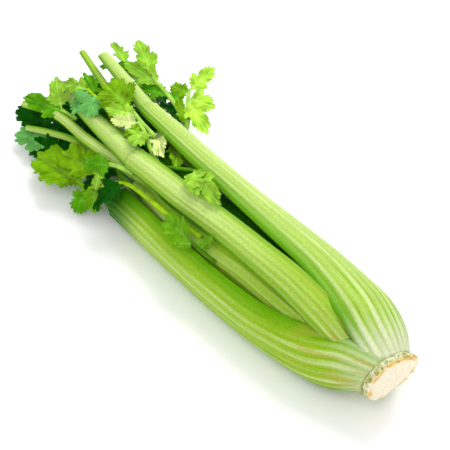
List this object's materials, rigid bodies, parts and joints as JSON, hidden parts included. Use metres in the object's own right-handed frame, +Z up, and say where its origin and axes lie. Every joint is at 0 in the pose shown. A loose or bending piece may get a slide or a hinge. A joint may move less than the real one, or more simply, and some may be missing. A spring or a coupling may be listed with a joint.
{
  "type": "head of celery",
  "caption": "Head of celery lying on its side: ribbed crescent stalks joined at a trimmed butt, with cut stem ends and toothed leaves at the top.",
  "frame": {"origin": "on the flat spot under the lowest stalk, where the head rests", "axes": "+X towards the cut butt, -X towards the leafy tips, +Z up as it lies, +Y to the side of the widest upper stalk"},
  "size_m": [0.3863, 0.1465, 0.081],
  "materials": {
    "stalk": "satin, ribbed, paler towards the butt",
    "leaf": "soft, veined",
    "cut_flesh": "rough cut, dried at its rim"
  },
  "bodies": {
    "root": {"butt": "cut_flesh", "heart_far": "stalk", "heart_left": "stalk", "heart_top": "stalk", "leaves_blue": "leaf", "leaves_bright": "leaf", "leaves_bud": "leaf", "leaves_far": "leaf", "leaves_far_tip": "leaf", "leaves_gap": "leaf", "leaves_heart": "leaf", "leaves_inner": "leaf", "leaves_left_low": "leaf", "leaves_left_tip": "leaf", "leaves_light": "leaf", "leaves_mid": "leaf", "leaves_near": "leaf", "leaves_right": "leaf", "leaves_right_top": "leaf", "leaves_shade": "leaf", "leaves_under": "leaf", "stalk_far": "stalk", "stalk_inner_far": "stalk", "stalk_inner_left": "stalk", "stalk_left": "stalk", "stalk_mid_left": "stalk", "stalk_mid_right": "stalk", "stalk_mid_top": "stalk", "stalk_right": "stalk", "stalk_top": "stalk", "stalk_under": "stalk"}
  },
  "joints": []
}
